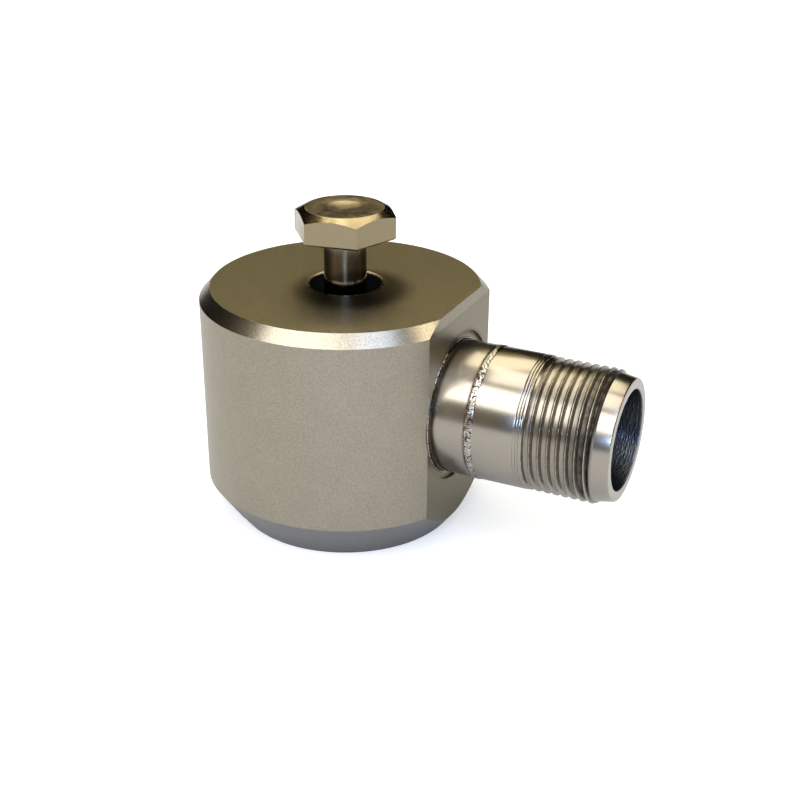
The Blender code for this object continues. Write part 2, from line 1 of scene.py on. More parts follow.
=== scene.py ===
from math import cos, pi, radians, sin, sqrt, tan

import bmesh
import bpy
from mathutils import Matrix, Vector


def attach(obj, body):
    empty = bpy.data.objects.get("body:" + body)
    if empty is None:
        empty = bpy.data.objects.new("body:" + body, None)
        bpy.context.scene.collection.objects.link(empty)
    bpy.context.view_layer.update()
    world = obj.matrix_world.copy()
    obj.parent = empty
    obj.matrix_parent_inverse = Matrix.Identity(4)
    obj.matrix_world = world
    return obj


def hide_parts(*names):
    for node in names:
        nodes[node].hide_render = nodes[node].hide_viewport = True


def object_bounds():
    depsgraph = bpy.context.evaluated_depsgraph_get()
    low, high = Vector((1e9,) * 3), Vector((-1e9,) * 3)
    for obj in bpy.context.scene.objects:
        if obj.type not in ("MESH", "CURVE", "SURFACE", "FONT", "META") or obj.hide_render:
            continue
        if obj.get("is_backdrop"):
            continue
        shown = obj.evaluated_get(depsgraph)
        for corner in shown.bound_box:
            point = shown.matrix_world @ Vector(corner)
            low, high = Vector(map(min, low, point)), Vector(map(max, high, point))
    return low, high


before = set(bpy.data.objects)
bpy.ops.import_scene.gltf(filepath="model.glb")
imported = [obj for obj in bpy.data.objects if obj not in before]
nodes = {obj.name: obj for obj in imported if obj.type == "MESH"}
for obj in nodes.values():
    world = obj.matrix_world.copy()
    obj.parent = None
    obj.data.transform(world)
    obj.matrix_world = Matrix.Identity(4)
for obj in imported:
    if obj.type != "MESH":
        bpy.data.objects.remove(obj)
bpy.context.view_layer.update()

# %% [markdown]
# # A side-exit vibration sensor in stainless steel
#
# The object is an industrial accelerometer: a round steel body with one flat, a threaded
# connector welded to that flat, and a captive bolt through the middle. This script dresses the
# CAD model. The pieces that show are made again with finer turning, real threads and weld beads,
# and the pieces that are sealed inside keep their CAD shape and get materials.

scene = bpy.context.scene
MM = 0.001

# %% [markdown]
# ## Small helpers
#
# Colours are written as hex values, the way that a colour picker shows them. Blender's shaders
# work with linear light, so one function turns each value to linear. The second fills a node's
# inputs, and the third adds a node to a tree, be it a shader or a Geometry Nodes tree. An input
# takes a number, a socket or a whole node, which stands for the first output that it has in use.

# %% Colour and node helpers
def linear(hex_colour):
    """Turn an sRGB hex colour into the linear RGBA that shaders use."""
    channels = [int(hex_colour[i:i + 2], 16) / 255 for i in (1, 3, 5)]
    return (*[c / 12.92 if c <= 0.04045 else ((c + 0.055) / 1.055) ** 2.4 for c in channels], 1)


def fill(tree, node, values):
    """Give a node's inputs their numbers and links."""
    for key, value in values.items():
        if isinstance(value, bpy.types.Node):
            value = next(socket for socket in value.outputs if socket.enabled)
        if isinstance(value, bpy.types.NodeSocket):
            tree.links.new(value, node.inputs[key])
        else:
            node.inputs[key].default_value = value


def add(tree, kind, *values, named=None, **settings):
    """Add a node. Values fill its first inputs in order, and named fills others by name."""
    node = tree.nodes.new(kind)
    for name, value in settings.items():
        setattr(node, name, value)
    fill(tree, node, dict(enumerate(values)) | (named or {}))
    return node


# %% [markdown]
# ## Starting a material
#
# Every material here begins in the same way: a Principled shader with one even colour,
# roughness and metallic value. Each one then adds what its real surface shows, such as turning
# marks or grain. Patterns read Object coordinates, which are metres on the real object, so a
# scale comes from a real size: one grain of g metres needs a noise scale of about 1 / g. Inputs
# 6 and 7 of a Mix node are its two colours, and 2 and 3 are its two numbers.

# %% Material starter
def new_material(name, colour, roughness, metallic):
    """A material with a plain Principled shader. Returns it, its tree, shader and coordinates."""
    material = bpy.data.materials.new(name)
    material.use_nodes = True
    tree = material.node_tree
    shader = tree.nodes["Principled BSDF"]
    fill(tree, shader, {"Base Color": linear(colour), "Roughness": roughness,
                        "Metallic": metallic})
    place = add(tree, "ShaderNodeTexCoord").outputs["Object"]
    return material, tree, shader, place


# %% [markdown]
# ## Finding a place on the connector
#
# The connector lies along X. Taking away the height of its axis and leaving out X gives
# how far a point is from that axis. Several materials need this, so a function adds it.

# %% Distance from the connector's axis
CONNECTOR_Z = 16.23 * MM


def from_connector(tree, place):
    """Nodes for a point's place from the connector's axis, and for its distance from it."""
    centred = add(tree, "ShaderNodeVectorMath", place, (0, 0, CONNECTOR_Z), operation="SUBTRACT")
    flattened = add(tree, "ShaderNodeVectorMath", centred, (0, 1, 1), operation="MULTIPLY")
    return centred, add(tree, "ShaderNodeVectorMath", flattened, operation="LENGTH")


# %% [markdown]
# ## Satin steel of the body
#
# The body is turned from stainless bar and then blasted with fine beads. To the eye that is a
# grey metal with a warm cast and soft, blurred reflections, broken by a grain of a few hundredths
# of a millimetre. The grain is drawn at 0.20 mm, coarser than it is, so that it shows at all. It
# changes the colour, the gloss and the surface together, as pits do. The top chamfer was turned
# again afterwards and is smoother.

# %% Satin blasted steel
BODY_R = 17.4625 * MM
BODY_HEIGHT = 29.32 * MM
CHAMFER_HEIGHT = 1.40 * MM
GRAIN = 0.20 * MM
PATCH = 3.0 * MM

chamfer_foot = BODY_HEIGHT - CHAMFER_HEIGHT
satin_steel, tree, shader, place = new_material("blasted_stainless_steel", "#9c9483", 0.40, 1.0)
sides = add(tree, "ShaderNodeSeparateXYZ", place).outputs
grain = add(tree, "ShaderNodeTexNoise", named={"Vector": place, "Scale": 1 / GRAIN, "Detail": 3.0})
speckle = add(tree, "ShaderNodeMapRange", grain, 0.3, 0.7, 0.35, 0.43)
above = add(tree, "ShaderNodeMapRange", sides["Z"], chamfer_foot - 0.02 * MM,
            chamfer_foot + 0.02 * MM, 0.0, 1.0)
below = add(tree, "ShaderNodeMapRange", sides["Z"], BODY_HEIGHT - 0.02 * MM,
            BODY_HEIGHT - 0.005 * MM, 1.0, 0.0)
chamfer = add(tree, "ShaderNodeMath", above, below, operation="MULTIPLY")
gloss = add(tree, "ShaderNodeMix", named={0: chamfer, 2: speckle, 3: 0.27})
bump = add(tree, "ShaderNodeBump", named={"Height": grain, "Strength": 0.20,
                                          "Distance": 0.01 * MM})
fill(tree, shader, {"Roughness": gloss, "Normal": bump})
print("satin steel nodes:", len(tree.nodes))

# %% [markdown]
# ## Where the body's colour changes
#
# The faced top and the turned foot were each cut by another tool and differ a little in colour. The
# milled flat is darker too, but that tone is painted shade: it stands in for the object's shadow on
# the floor, which the flat mirrors. Each is found by its place, as a mask that is 1 there and 0
# elsewhere. The mask of the flat takes in the spot face and leaves out the round side next to it.

# %% Masks for places on the body
FLAT_X = 15.09 * MM
SPOT_FACE_X = 14.75 * MM
SPOT_FACE_R = 9.05 * MM
TAPER_TOP = 5.14 * MM

radius = from_connector(tree, place)[1]
off_spot_face = add(tree, "ShaderNodeMath", radius, SPOT_FACE_R + 0.05 * MM,
                    operation="GREATER_THAN")
least_x = add(tree, "ShaderNodeMapRange", off_spot_face, 0.0, 1.0, SPOT_FACE_X - 0.15 * MM,
              FLAT_X - 0.04 * MM)
far_side = add(tree, "ShaderNodeMath", sides["X"], least_x, operation="GREATER_THAN")
across = add(tree, "ShaderNodeVectorMath", place, (1, 1, 0), operation="MULTIPLY")
bolt_gap = add(tree, "ShaderNodeVectorMath", across, operation="LENGTH")
cut_away = add(tree, "ShaderNodeMath", bolt_gap, BODY_R - 0.03 * MM, operation="LESS_THAN")
on_flat = add(tree, "ShaderNodeMath", far_side, cut_away, operation="MULTIPLY")
on_top = add(tree, "ShaderNodeMath", sides["Z"], BODY_HEIGHT - 0.01 * MM,
             operation="GREATER_THAN")
on_foot = add(tree, "ShaderNodeMapRange", sides["Z"], TAPER_TOP - 0.1 * MM, TAPER_TOP + 0.1 * MM,
              1.0, 0.0)

# %% [markdown]
# ## Heat tint, and painted shade round the bolt
#
# The weld leaves a brown ring of heat tint on the flat, above the neck. Round the bolt the top gets
# a
# dark patch, set off towards the camera: painted shade that stands in for the dark reflection of
# the head. Both fade out softly with the distance from where they are strongest.

# %% Heat tint, and painted shade round the bolt
TINT_R = 8.90 * MM
TINT_REACH = 0.70 * MM
TINT_FROM_Z = CONNECTOR_Z + 5.5 * MM
TINT_FULL_Z = CONNECTOR_Z + 7.5 * MM
# The dark patch round the bolt is painted shade, a dark reflection of the head, and its centre lies
# towards the camera.
HEAD_SHADE_CENTRE = (1.8 * MM, -1.6 * MM, 0)
HEAD_SHADE_FULL_R = 4.9 * MM
HEAD_SHADE_END_R = 8.2 * MM

ring_gap = add(tree, "ShaderNodeMath", radius, TINT_R, operation="SUBTRACT")
off_ring = add(tree, "ShaderNodeMath", ring_gap, operation="ABSOLUTE")
tint = add(tree, "ShaderNodeMapRange", off_ring, 0.0, TINT_REACH, 0.9, 0.0,
           interpolation_type="SMOOTHSTEP")
over_neck = add(tree, "ShaderNodeMapRange", sides["Z"], TINT_FROM_Z, TINT_FULL_Z, 0.15, 1.0)
tint = add(tree, "ShaderNodeMath", tint, on_flat, operation="MULTIPLY")
tint = add(tree, "ShaderNodeMath", tint, over_neck, operation="MULTIPLY")
from_head_shade = add(tree, "ShaderNodeVectorMath", across, HEAD_SHADE_CENTRE, operation="DISTANCE")
head_shade = add(tree, "ShaderNodeMapRange", from_head_shade, HEAD_SHADE_FULL_R, HEAD_SHADE_END_R, 0.86, 0.0,
             interpolation_type="SMOOTHSTEP")
head_shade = add(tree, "ShaderNodeMath", head_shade, on_top, operation="MULTIPLY")

# %% [markdown]
# ## The body's colours
#
# The masks now lay one colour over the other, and the grain darkens its own pits.

# %% The body's colours
patches = add(tree, "ShaderNodeTexNoise", named={"Vector": place, "Scale": 1 / PATCH})
colour = add(tree, "ShaderNodeMix", named={0: patches, 6: linear("#978f80"),
                                           7: linear("#9f9786")}, data_type="RGBA")
# The flat's darker tone is painted shade for the shadow that it mirrors, and the dark tone round
# the bolt is painted shade of the head. The tones of the top and the foot and the heat tint belong
# to the metal.
for mask, tone in ((on_foot, "#85827e"), (on_flat, "#857d6a"), (on_top, "#8b8269"),
                   (head_shade, "#2a251b"), (tint, "#54401f")):
    colour = add(tree, "ShaderNodeMix", named={0: mask, 6: colour, 7: linear(tone)},
                 data_type="RGBA")
pits = add(tree, "ShaderNodeMapRange", grain, 0.32, 0.68, 0.86, 1.14)
pitted = add(tree, "ShaderNodeVectorMath", colour, operation="SCALE", named={"Scale": pits})
fill(tree, shader, {"Base Color": pitted})
print("satin steel nodes:", len(tree.nodes))

# %% [markdown]
# ## Bright turned steel of the connector
#
# The neck and the connector are turned and left bright. A lathe leaves fine rings round the
# work, so reflections stay sharp along the axis and smear a little across it. The rings come from
# a noise that is stretched round the axis: it reads mainly the distance along X. Years of
# handling have left a few dull patches.

# %% Bright turned steel
TURNING = 0.10 * MM
HANDLING = 2.5 * MM

turned_steel, tree, shader, place = new_material("turned_stainless_steel", "#9e978b", 0.24, 1.0)
centred = from_connector(tree, place)[0]
along_only = add(tree, "ShaderNodeVectorMath", centred, (1, 0.02, 0.02), operation="MULTIPLY")
rings = add(tree, "ShaderNodeTexNoise", named={"Vector": along_only, "Scale": 1 / TURNING,
                                               "Detail": 2.0})
wear = add(tree, "ShaderNodeTexNoise", named={"Vector": place, "Scale": 1 / HANDLING,
                                              "Detail": 6.0})
dulled = add(tree, "ShaderNodeMapRange", wear, 0.35, 0.70, 0.21, 0.29)
bump = add(tree, "ShaderNodeBump", named={"Height": rings, "Strength": 0.10,
                                          "Distance": 0.01 * MM})
fill(tree, shader, {"Roughness": dulled, "Normal": bump})
print("turned steel nodes:", len(tree.nodes))

# %% [markdown]
# ## Threaded steel, with dirt in its grooves
#
# The connector's thread is the same bright steel, but grease and grime stay in its grooves where
# no cloth reaches. The dirt depends on the radius: none on the crests, most at the roots. A noise
# breaks it up into clots, and most of it sits near the mouth, where the plug pushes it together.

# %% Threaded steel
CREST_R = 7.90 * MM
GROOVE_DEPTH = 0.46 * MM
CLOT = 0.9 * MM
GRIME_FROM_X = 30.6 * MM
GRIME_FULL_X = 33.1 * MM
COLLAR_FROM_X = 33.8 * MM
COLLAR_CLEAN_X = 34.1 * MM
OUTSIDE_R = 7.0 * MM

thread_steel, tree, shader, place = new_material("threaded_stainless_steel", "#9e978b", 0.24, 1.0)
centred, radius = from_connector(tree, place)
along = add(tree, "ShaderNodeSeparateXYZ", place).outputs["X"]
dirt = add(tree, "ShaderNodeMapRange", radius, CREST_R - 0.04 * MM, CREST_R - GROOVE_DEPTH,
           0.0, 0.8)
clots = add(tree, "ShaderNodeTexNoise", named={"Vector": place, "Scale": 1 / CLOT, "Detail": 5.0})
clotted = add(tree, "ShaderNodeMapRange", clots, 0.35, 0.65, 0.85, 1.15)
near_mouth = add(tree, "ShaderNodeMapRange", along, GRIME_FROM_X, GRIME_FULL_X, 0.20, 1.15)
outside = add(tree, "ShaderNodeMath", radius, OUTSIDE_R, operation="GREATER_THAN")
for share in (clotted, near_mouth, outside):
    dirt = add(tree, "ShaderNodeMath", dirt, share, operation="MULTIPLY")
on_thread = add(tree, "ShaderNodeMapRange", along, COLLAR_CLEAN_X, COLLAR_FROM_X, 0.0, 1.0)
dirt = add(tree, "ShaderNodeMath", dirt, on_thread, operation="MULTIPLY", use_clamp=True)
grimy = add(tree, "ShaderNodeMix", named={0: dirt, 6: linear("#9e978b"), 7: linear("#26211b")},
            data_type="RGBA")
dull = add(tree, "ShaderNodeMapRange", dirt, 0.0, 1.0, 0.22, 0.60)

# %% [markdown]
# ## The wall of the socket
#
# Inside the socket the same piece is given a darker, slightly blue colour: painted shade of the
# deep hole. The boring tool chattered and left short, rough ridges round the wall. They are what
# throws the light of a lamp back out of a deep hole, so they are drawn with a strong bump: a smooth
# wall would look black.

# %% Bored wall
SOCKET_R = 5.90 * MM
CHATTER = 0.14 * MM

bore_wall = add(tree, "ShaderNodeMapRange", radius, SOCKET_R + 0.06 * MM, SOCKET_R + 0.10 * MM,
                1.0, 0.0)
# Painted shade: the socket's wall gets a darker, bluish colour for the shade in the deep hole.
bore_painted_shade = add(tree, "ShaderNodeMix", named={0: bore_wall, 6: grimy, 7: linear("#63676e")},
            data_type="RGBA")
satin = add(tree, "ShaderNodeMix", named={0: bore_wall, 2: dull, 3: 0.30})
ringed = add(tree, "ShaderNodeVectorMath", centred, (1, 0.25, 0.25), operation="MULTIPLY")
chatter = add(tree, "ShaderNodeTexNoise", named={"Vector": ringed, "Scale": 1 / CHATTER,
                                                 "Detail": 3.0})
ridges = add(tree, "ShaderNodeMath", chatter, bore_wall, operation="MULTIPLY")
bump = add(tree, "ShaderNodeBump", named={"Height": ridges, "Strength": 0.6,
                                          "Distance": 0.10 * MM})
fill(tree, shader, {"Base Color": bore_painted_shade, "Roughness": satin, "Normal": bump})
print("threaded steel nodes:", len(tree.nodes))

# %% [markdown]
# ## Weld metal
#
# A fused bead is bright and uneven, with dark spots of oxide about 0.2 mm wide. The oxide is
# thin, so it changes the colour of the metal and not its gloss.

# %% Weld steel
OXIDE_SPOT = 0.20 * MM

weld_steel, tree, shader, place = new_material("fused_weld_steel", "#b4ada3", 0.16, 1.0)
spots = add(tree, "ShaderNodeTexNoise", named={"Vector": place, "Scale": 1 / OXIDE_SPOT,
                                               "Detail": 3.0})
share = add(tree, "ShaderNodeMapRange", spots, 0.49, 0.58, 0.0, 1.0)
oxide = add(tree, "ShaderNodeMix", named={0: share, 6: linear("#bbb4aa"), 7: linear("#2e2822")},
            data_type="RGBA")
fill(tree, shader, {"Base Color": oxide})

# %% [markdown]
# ## The bolt's steel, in three finishes
#
# The bolt is cold headed: a die strikes its head from drawn bar. The sides of the head are clean
# and yellowish, with fine lines. Its top keeps the soft dents of the die and is duller. The shank
# is thinner, and its darker colour is painted shade under the head. The lines of drawing run down
# it and spread a reflection sideways into a soft streak. All the lines are drawn at 0.12 or
# 0.15 mm, coarser than the real ones.

# %% Bolt steels
BOLT_FINISHES = {
    # name: (colour, even roughness, stretch of the pattern, its size in mm and its detail,
    #        least and most roughness, strength of the bump and its height in mm)
    "cold_headed_stainless_steel": ("#93866a", 0.15, (0.3, 0.3, 1.0), 0.15, 3.0,
                                    0.12, 0.26, 0.08, 0.01),
    "struck_head_steel": ("#988c74", 0.36, (1, 1, 1), 0.9, 1.5, 0.28, 0.40, 0.25, 0.03),
    # The shank's darker colour is painted shade under the head, and its drawing lines are real.
    "drawn_shank_in_painted_shade": ("#6e6658", 0.12, (1, 1, 0.05), 0.12, 2.0, 0.10, 0.18, 0.4, 0.02),
}
bolt_finishes = []
for name, (colour, even, stretch, size, detail, least, most, strength,
           height) in BOLT_FINISHES.items():
    material, tree, shader, place = new_material(name, colour, even, 1.0)
    stretched = add(tree, "ShaderNodeVectorMath", place, stretch, operation="MULTIPLY")
    marks = add(tree, "ShaderNodeTexNoise", named={"Vector": stretched, "Scale": 1 / (size * MM),
                                                   "Detail": detail})
    dulled = add(tree, "ShaderNodeMapRange", marks, 0.35, 0.70, least, most)
    bump = add(tree, "ShaderNodeBump", named={"Height": marks, "Strength": strength,
                                              "Distance": height * MM})
    fill(tree, shader, {"Roughness": dulled, "Normal": bump})
    bolt_finishes.append(material)
bolt_steel, struck_steel, shaded_shank_steel = bolt_finishes
print("bolt steels:", len(bolt_finishes))

# %% [markdown]
# ## Painted shade in the hole
#
# The wall of the hole round the bolt is painted black, as shade of the deep, narrow gap round the
# shank. It isn't metallic, so it mirrors nothing: a dark, half-dull film mottled at about 0.4 mm.

# %% Painted shade in the hole
SHADE_MOTTLE = 0.4 * MM

hole_painted_shade, tree, shader, place = new_material("hole_painted_shade", "#1a1815", 0.45, 0.0)
shade_mottle = add(tree, "ShaderNodeTexNoise", named={"Vector": place, "Scale": 1 / SHADE_MOTTLE,
                                                "Detail": 3.0})
shade_film = add(tree, "ShaderNodeMix", named={0: shade_mottle, 6: linear("#0d0c0a"), 7: linear("#1f1c18")},
           data_type="RGBA")
fill(tree, shader, {"Base Color": shade_film})
print("materials so far:", len(bpy.data.materials))

# %% [markdown]
# ## Pieces inside
#
# Plastics, glass, ceramics and thin metals are sealed inside or sit deep in the socket. Each one
# still gets the finish of the real material, with the mottle that its making leaves.

# %% Inner materials
INNER = {
    # name: (colour, second colour, roughness, metallic, size of the mottle in mm)
    "moulded_black_insulator": ("#17181a", "#222326", 0.42, 0.0, 0.4),
    "fused_seal_glass": ("#0c1420", "#14202e", 0.08, 0.0, 0.8),
    "gold_plating": ("#d9b468", "#c79b4c", 0.22, 1.0, 0.3),
    "alumina_ceramic": ("#e4dfd3", "#d8d2c4", 0.48, 0.0, 0.3),
    "poled_piezo_ceramic": ("#8f8672", "#7f7663", 0.45, 0.0, 0.3),
    "polyimide_film": ("#a85f1c", "#94501a", 0.30, 0.0, 0.8),
    "rolled_copper": ("#c98a62", "#b3754e", 0.30, 1.0, 0.4),
    "sintered_heavy_metal": ("#6f6f72", "#626265", 0.42, 1.0, 0.2),
    "tinned_brass_sheet": ("#b5b1a1", "#a39f8f", 0.34, 1.0, 0.6),
    "glass_fibre_laminate": ("#1f4a2c", "#285a36", 0.40, 0.0, 0.3),
    "red_wire_insulation": ("#8e1c16", "#7c1712", 0.42, 0.0, 0.5),
    "spring_steel": ("#8f8a82", "#7f7a73", 0.28, 1.0, 0.3),
}
inner = {}
for name, (first, second, roughness, metallic, mottle) in INNER.items():
    inner[name], tree, shader, place = new_material(name, first, roughness, metallic)
    noise = add(tree, "ShaderNodeTexNoise", named={"Vector": place, "Scale": 1 / (mottle * MM),
                                                   "Detail": 3.0})
    blend = add(tree, "ShaderNodeMix", named={0: noise, 6: linear(first), 7: linear(second)},
                data_type="RGBA")
    fill(tree, shader, {"Base Color": blend})
print("inner materials:", len(inner))

# %% [markdown]
# ## Turned pieces
#
# Nearly everything here comes off a lathe, so one function turns an outline about an axis, as a
# lathe does. The outline is a list of (radius, height) points. Round edges get a real arc,
# because a sharp edge has no highlight and the eye misses it.

# %% Lathe
TURNS = 192


def finish_mesh(name, bm, material, sharp=30):
    """Close up a bmesh, point its faces outwards and make it a smooth object with sharp edges."""
    bmesh.ops.remove_doubles(bm, verts=bm.verts, dist=1e-7)
    bmesh.ops.recalc_face_normals(bm, faces=bm.faces)
    open_edges = sum(not edge.is_manifold for edge in bm.edges)
    mesh = bpy.data.meshes.new(name)
    bm.to_mesh(mesh)
    bm.free()
    print(name, "faces:", len(mesh.polygons), "open edges:", open_edges)
    mesh.shade_smooth()
    mesh.set_sharp_from_angle(angle=radians(sharp))
    mesh.materials.append(material)
    piece = bpy.data.objects.new(name, mesh)
    scene.collection.objects.link(piece)
    return piece


def turn(profile, closed=True, steps=TURNS, bm=None):
    """Turn (radius, height) points about Z. An open profile gives an open skin."""
    bm = bm or bmesh.new()
    rows = []
    for r, h in profile:
        if r < 1e-9:
            rows.append([bm.verts.new((0, 0, h))] * steps)
        else:
            angles = [2 * pi * i / steps for i in range(steps)]
            rows.append([bm.verts.new((r * cos(a), r * sin(a), h)) for a in angles])
    pairs = list(zip(rows, rows[1:])) + ([(rows[-1], rows[0])] if closed else [])
    for low, high in pairs:
        for i in range(steps):
            corners = [low[i - 1], low[i], high[i], high[i - 1]]
            face = [v for n, v in enumerate(corners) if v not in corners[:n]]
            if len(face) > 2:
                bm.faces.new(face)
    return bm


def arc(centre_r, centre_h, size, start, end, steps=5):
    """Points on a round edge, from one angle to another, in degrees."""
    angles = [radians(start + (end - start) * i / steps) for i in range(steps + 1)]
    return [(centre_r + size * cos(a), centre_h + size * sin(a)) for a in angles]


def lay_on_connector(bm):
    """Turn a piece made about Z so that it lies along the connector's axis."""
    lay = Matrix.Translation((0, 0, CONNECTOR_Z)) @ Matrix.Rotation(pi / 2, 4, "Y")
    bmesh.ops.transform(bm, matrix=lay, verts=bm.verts)
    return bm


def cut(piece, tool, operation="DIFFERENCE"):
    """Apply a boolean and throw the tool away."""
    modifier = piece.modifiers.new("Cut", "BOOLEAN")
    modifier.operation = operation
    modifier.object = tool
    graph = bpy.context.evaluated_depsgraph_get()
    mesh = bpy.data.meshes.new_from_object(piece.evaluated_get(graph), depsgraph=graph)
    piece.modifiers.clear()
    piece.data = mesh
    bpy.data.objects.remove(tool)


# %% [markdown]
# ## The body
#
# The body is a cup turned from bar, with a chamfer at its top and a taper and bevel at its foot.
# A flat is then milled on its side, with a shallow round spot face where the connector is welded.
# Booleans suit this because they are the same cuts that the milling machine makes.

# %% Body
BEVEL_R = 13.81 * MM
TAPER_R = 15.11 * MM
BEVEL_HEIGHT = 1.68 * MM
CHAMFER_WIDTH = 1.30 * MM
CAVITY_R = 12.20 * MM
CAVITY_ROOF = 26.12 * MM
BASE_R = 12.30 * MM
BASE_SEAT = 2.50 * MM
POST_R = 4.55 * MM
SEAM = 0.30 * MM
NECK_R = 7.99 * MM

body_profile = [
    (BASE_R + SEAM, 0),
    (BEVEL_R, 0),
    (TAPER_R, BEVEL_HEIGHT),
    (BODY_R, TAPER_TOP),
    (BODY_R, chamfer_foot),
    (BODY_R - CHAMFER_WIDTH, BODY_HEIGHT),
    (POST_R + SEAM, BODY_HEIGHT),
    (POST_R + SEAM, CAVITY_ROOF),
    (CAVITY_R, CAVITY_ROOF),
    (CAVITY_R, BASE_SEAT),
    (BASE_R + SEAM, BASE_SEAT),
]
housing = finish_mesh("sensor_body", turn(body_profile), satin_steel)
bm = bmesh.new()
bmesh.ops.create_cube(bm, size=1)
bmesh.ops.scale(bm, vec=(4 * BODY_R, 4 * BODY_R, 4 * BODY_R), verts=bm.verts)
bmesh.ops.translate(bm, vec=(FLAT_X + 2 * BODY_R, 0, 0), verts=bm.verts)
cut(housing, finish_mesh("flat_tool", bm, satin_steel))
for tool_r, floor_x in ((SPOT_FACE_R, SPOT_FACE_X), (NECK_R + SEAM, 0)):
    bar = turn([(0, floor_x), (tool_r, floor_x), (tool_r, 2 * BODY_R), (0, 2 * BODY_R)], False)
    cut(housing, finish_mesh("mill_tool", lay_on_connector(bar), satin_steel))
housing.data.shade_smooth()
housing.data.set_sharp_from_angle(angle=radians(25))
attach(housing, "body")
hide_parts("housing")
print("body faces:", len(housing.data.polygons))

# %% [markdown]
# ## The base and its post
#
# The base closes the body from below, and its hollow post comes up through the top face, where
# it is welded and polished. What shows is the hole round the bolt. Its wall gets a second, black
# material, which is painted shade of the deep, narrow hole. The rim is rounded over, and that gives
# the thin bright crescent on its far side.

# %% Base and post
LAND_R = 2.85 * MM
HOLE_R = 4.30 * MM
HOLE_DEPTH = 3.0 * MM
base_profile = [
    (3.85 * MM, 0),
    (BASE_R, 0),
    (BASE_R, 2.20 * MM),
    (11.90 * MM, 2.20 * MM),
    (11.90 * MM, 4.20 * MM),
    (4.75 * MM, 4.20 * MM),
    (POST_R, 4.40 * MM),
    (POST_R, BODY_HEIGHT - 0.05 * MM),
    *arc(HOLE_R + 0.16 * MM, BODY_HEIGHT - 0.22 * MM, 0.16 * MM, 80, 180),
    (HOLE_R, BODY_HEIGHT - HOLE_DEPTH),
    (LAND_R, BODY_HEIGHT - HOLE_DEPTH - 0.30 * MM),
    (LAND_R, 24.67 * MM),
    (3.45 * MM, 24.07 * MM),
    (3.45 * MM, 0.40 * MM),
]
base = finish_mesh("mounting_base", turn(base_profile), turned_steel)
base.data.materials.append(hole_painted_shade)
# Faces of the hole's wall get the black painted shade.
in_hole = [face for face in base.data.polygons
           if face.center.xy.length < HOLE_R + 0.01 * MM and face.center.z > 20 * MM]
for face in in_hole:
    face.material_index = 1
print("hole shade faces:", len(in_hole))
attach(base, "body")
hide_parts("base")

# %% [markdown]
# ## Weld rings
#
# Three seams are welded: the post into the top face, the neck into the spot face, and the base
# into the body. Each one is a thin ring of fused metal, turned like the rest.

# %% Weld rings
post_weld = finish_mesh("post_weld_ring", turn([
    (POST_R, BODY_HEIGHT - 0.50 * MM),
    (POST_R + SEAM, BODY_HEIGHT - 0.50 * MM),
    (POST_R + SEAM, BODY_HEIGHT),
    (POST_R + 0.20 * MM, BODY_HEIGHT - 0.005 * MM),
    (POST_R + 0.10 * MM, BODY_HEIGHT - 0.02 * MM),
    (POST_R, BODY_HEIGHT - 0.05 * MM),
]), turned_steel)
root_weld = finish_mesh("neck_root_weld", lay_on_connector(turn([
    (NECK_R, 14.2 * MM),
    (NECK_R + SEAM, 14.2 * MM),
    (NECK_R + SEAM, 14.72 * MM),
    *[(r, 14.74 * MM + h) for r, h in arc(NECK_R + 0.18 * MM, 0, 0.10 * MM, 0, 180, 6)],
    (NECK_R + 0.04 * MM, 14.62 * MM),
    (NECK_R, 14.60 * MM),
])), weld_steel)
base_weld = finish_mesh("base_weld_ring", turn([
    (BASE_R, 0.02 * MM),
    (BASE_R + SEAM, 0.02 * MM),
    (BASE_R + SEAM, 1.0 * MM),
    (BASE_R, 1.0 * MM),
]), weld_steel)
for ring in (post_weld, root_weld, base_weld):
    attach(ring, "body")

# %% [markdown]
# ## Rolling a grid into a tube, with Geometry Nodes
#
# The thread and the weld bead both follow one rule all the way round, so Geometry Nodes makes
# them. A flat grid is rolled into a tube: its Y is the angle, its X the distance along the axis,
# and a radius is worked out for every point. Each tree begins and ends in the same way, so two
# functions do what they share. Sums that follow on one another are added in a loop, in which each
# step works on the result of the last one.

# %% Start and end of a rolled tree
def start_roll(name, floats, integers):
    """Start a tree with these inputs. Returns it, its inputs, a flat grid and the points' place."""
    tree = bpy.data.node_groups.new(name, "GeometryNodeTree")
    for kind, labels in (("NodeSocketFloat", floats), ("NodeSocketInt", integers),
                         ("NodeSocketMaterial", ["Material"])):
        for label in labels:
            tree.interface.new_socket(name=label, in_out="INPUT", socket_type=kind)
    tree.interface.new_socket(name="Mesh", in_out="OUTPUT", socket_type="NodeSocketGeometry")
    given = add(tree, "NodeGroupInput").outputs
    columns = add(tree, "ShaderNodeMath", given["Steps Around"], 1.0, operation="ADD")
    length = given["Length"] if "Length" in floats else 1.0
    grid = add(tree, "GeometryNodeMeshGrid", length, 2 * pi, given["Steps Along"], columns)
    place = add(tree, "ShaderNodeSeparateXYZ", add(tree, "GeometryNodeInputPosition")).outputs
    return tree, given, grid, place


